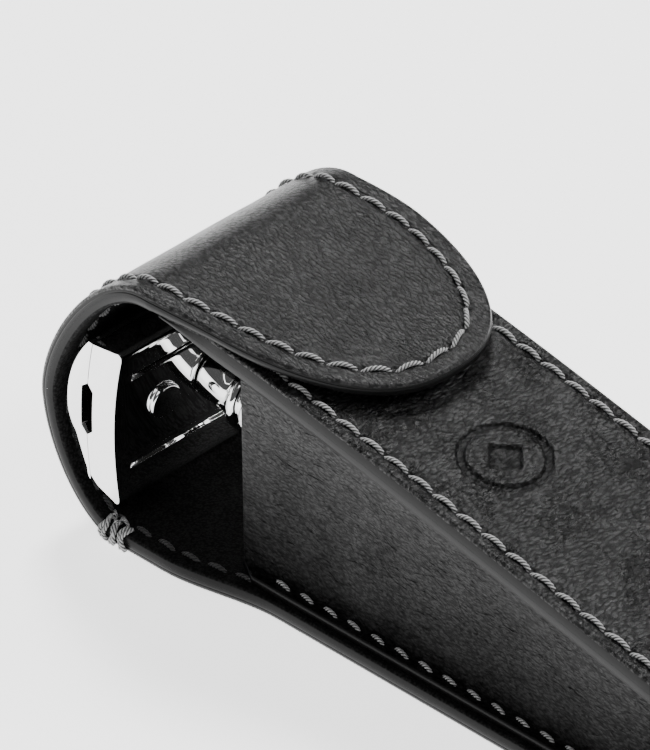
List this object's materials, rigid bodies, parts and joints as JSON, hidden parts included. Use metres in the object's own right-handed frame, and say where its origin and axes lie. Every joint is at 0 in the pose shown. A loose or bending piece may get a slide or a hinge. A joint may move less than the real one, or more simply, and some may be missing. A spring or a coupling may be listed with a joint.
{
  "type": "safety razor travel case",
  "caption": "Slim leather travel case with a wrap-over hood, a tapered flap and a side wall, holding a three-piece safety razor.",
  "frame": {"origin": "on the resting face of the back panel, in the middle across the width, under the line where the hood leaves the panel", "axes": "+X along the pocket to its closed end, +Y across, +Z out of the back panel"},
  "size_m": [0.1325, 0.0429, 0.0493],
  "materials": {
    "outer_leather": "fine-grained black calf leather, half gloss",
    "lining_leather": "matt black split leather with a short nap",
    "gusset_leather": "soft creased black leather, half gloss",
    "thread": "three-strand twisted grey thread",
    "steel": "plain nickel-plated",
    "chrome": "polished chrome plate"
  },
  "bodies": {
    "case": {"back_leather": "outer_leather", "back_lining": "lining_leather", "front_leather": "outer_leather", "front_lining": "lining_leather", "gusset": "gusset_leather", "front_seam_thread": "thread", "back_seam_thread": "thread", "bar_tacks": "thread", "panel_keeper": "steel"},
    "hood": {"hood_leather": "outer_leather", "hood_lining": "lining_leather", "hood_thread": "thread"},
    "flap": {"flap_leather": "outer_leather", "flap_lining": "lining_leather", "flap_thread": "thread", "flap_magnet": "steel"},
    "razor_head": {"razor_cap": "chrome", "razor_base_plate": "chrome"},
    "razor_handle": {"handle_neck": "chrome", "handle_grip": "chrome", "handle_knob": "chrome"}
  },
  "joints": [
    {"name": "hood_swing", "type": "hinge", "parent": "case", "child": "hood", "pos_m": [-0.00724, 0, 0.00385], "axis": [0, -1, 0], "range_deg": [0, 75]},
    {"name": "flap_lift", "type": "hinge", "parent": "hood", "child": "flap", "pos_m": [0.00945, 0, 0.0483], "axis": [0, -1, 0], "range_deg": [0, 80]},
    {"name": "razor_slide", "type": "slide", "parent": "case", "child": "razor_head", "axis": [1, 0, 0], "range_m": [0, 0.013]},
    {"name": "handle_turn", "type": "hinge", "parent": "razor_head", "child": "razor_handle", "pos_m": [0.0024, 0, 0.0204], "axis": [0.9925, 0, -0.1219], "continuous": true}
  ]
}
